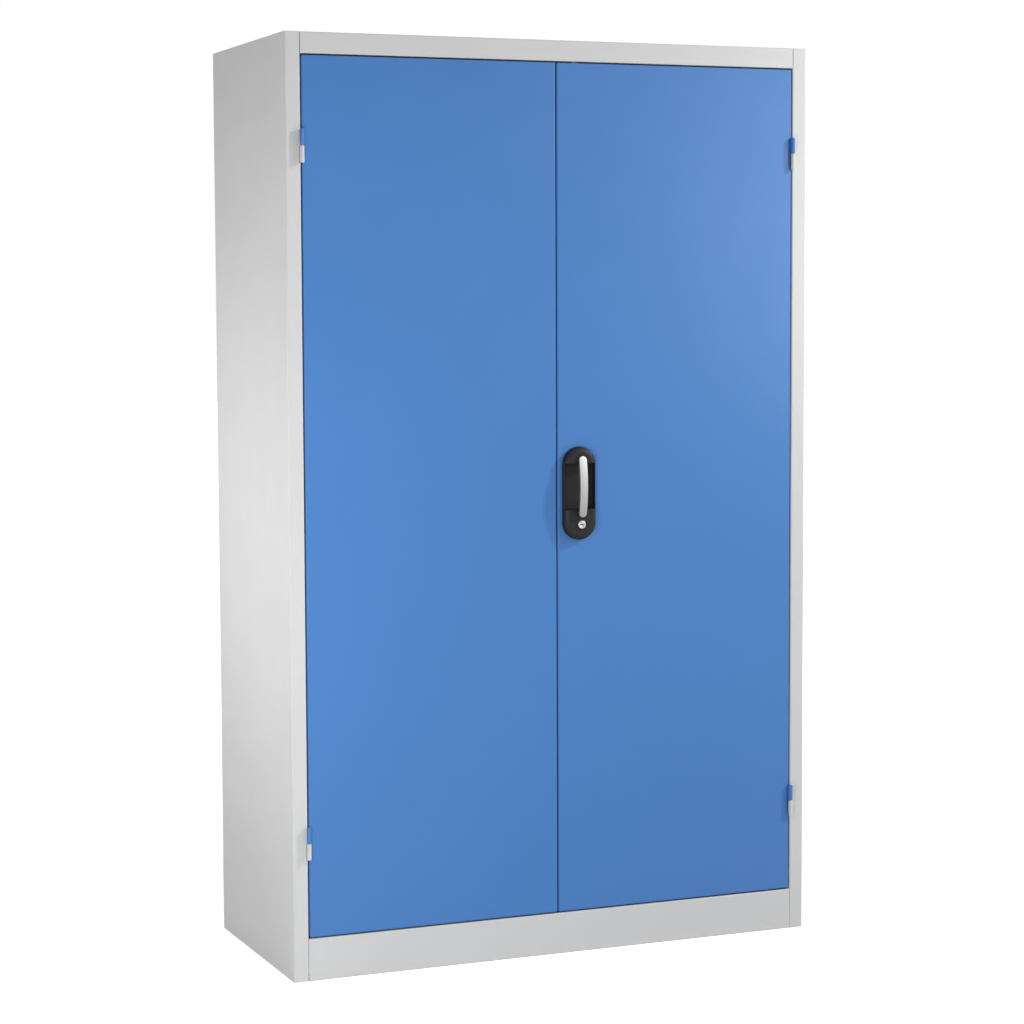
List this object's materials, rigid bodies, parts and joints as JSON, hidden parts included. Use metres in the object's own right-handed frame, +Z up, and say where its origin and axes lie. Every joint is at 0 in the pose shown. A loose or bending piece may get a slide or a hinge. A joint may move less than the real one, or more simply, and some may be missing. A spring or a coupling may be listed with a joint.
{
  "type": "tool cabinet",
  "caption": "Tall steel tool cabinet with hinged double doors, shelves, and a three-point lock behind a bow lever with a key cylinder.",
  "frame": {"origin": "on the floor, under the middle of the cabinet's body", "axes": "+X to the right as seen from the front, +Y to the back, +Z up; the doors face -Y"},
  "size_m": [1.2, 0.5316, 1.95],
  "materials": {
    "body_paint": "light grey powder coat, fine texture, half matt",
    "door_paint": "blue powder coat, fine texture, half matt",
    "galvanised": "galvanised sheet steel",
    "zinc": "zinc-plated steel",
    "chrome": "nickel-plated, polished",
    "lever_metal": "satin silver die casting",
    "black_plastic": "black moulded plastic, fine grain",
    "rubber": "soft black rubber"
  },
  "bodies": {
    "cabinet": {"left_side_panel": "body_paint", "right_side_panel": "body_paint", "roof_panel": "body_paint", "base_panel": "body_paint", "back_panel": "body_paint", "front_left_upright": "galvanised", "front_right_upright": "galvanised", "rear_left_upright": "galvanised", "rear_right_upright": "galvanised", "shelf_1": "galvanised", "shelf_2": "galvanised", "shelf_3": "galvanised", "shelf_4": "galvanised", "shelf_1_clips": "zinc", "shelf_2_clips": "zinc", "shelf_3_clips": "zinc", "shelf_4_clips": "zinc", "upper_left_frame_hinge": "body_paint", "lower_left_frame_hinge": "body_paint", "upper_right_frame_hinge": "body_paint", "lower_right_frame_hinge": "body_paint", "upper_left_hinge_pin": "zinc", "lower_left_hinge_pin": "zinc", "upper_right_hinge_pin": "zinc", "lower_right_hinge_pin": "zinc", "door_buffers": "rubber", "upper_keeper": "zinc", "lower_keeper": "zinc"},
    "left_door": {"left_door_panel": "door_paint", "left_door_stiffener": "door_paint", "upper_left_door_hinge": "door_paint", "lower_left_door_hinge": "door_paint"},
    "right_door": {"right_door_panel": "door_paint", "right_door_stiffener": "door_paint", "upper_right_door_hinge": "door_paint", "lower_right_door_hinge": "door_paint", "handle_plate": "black_plastic", "plate_screws": "zinc", "gearbox": "zinc", "rod_guides": "black_plastic", "lock_barrel": "chrome", "barrel_clip": "zinc"},
    "lever": {"lever": "lever_metal", "spindle": "zinc", "pinion": "zinc", "tongue": "zinc", "tongue_screw": "zinc"},
    "upper_rod": {"upper_rod": "zinc"},
    "lower_rod": {"lower_rod": "zinc"},
    "key": {"key_plug": "chrome", "key_cam": "zinc", "cam_screw": "zinc"}
  },
  "joints": [
    {"name": "left_door_hinge", "type": "hinge", "parent": "cabinet", "child": "left_door", "pos_m": [-0.566, -0.2553, 1.0055], "axis": [0, 0, -1], "range_deg": [0, 180]},
    {"name": "right_door_hinge", "type": "hinge", "parent": "cabinet", "child": "right_door", "pos_m": [0.566, -0.2553, 1.0055], "axis": [0, 0, 1], "range_deg": [0, 180]},
    {"name": "lever_turn", "type": "hinge", "parent": "right_door", "child": "lever", "pos_m": [0.049, -0.25, 1.066], "axis": [0, -1, 0], "range_deg": [0, 90]},
    {"name": "upper_rod_slide", "type": "slide", "parent": "right_door", "child": "upper_rod", "axis": [0, 0, 1], "range_m": [0, 0.019]},
    {"name": "lower_rod_slide", "type": "slide", "parent": "right_door", "child": "lower_rod", "axis": [0, 0, -1], "range_m": [0, 0.019]},
    {"name": "key_turn", "type": "hinge", "parent": "right_door", "child": "key", "pos_m": [0.049, -0.25, 0.9285], "axis": [0, -1, 0], "range_deg": [0, 90]}
  ],
  "couplings": [
    {"joint": "upper_rod_slide", "follows": "lever_turn", "m_per_rad": 0.012},
    {"joint": "lower_rod_slide", "follows": "lever_turn", "m_per_rad": 0.012}
  ]
}
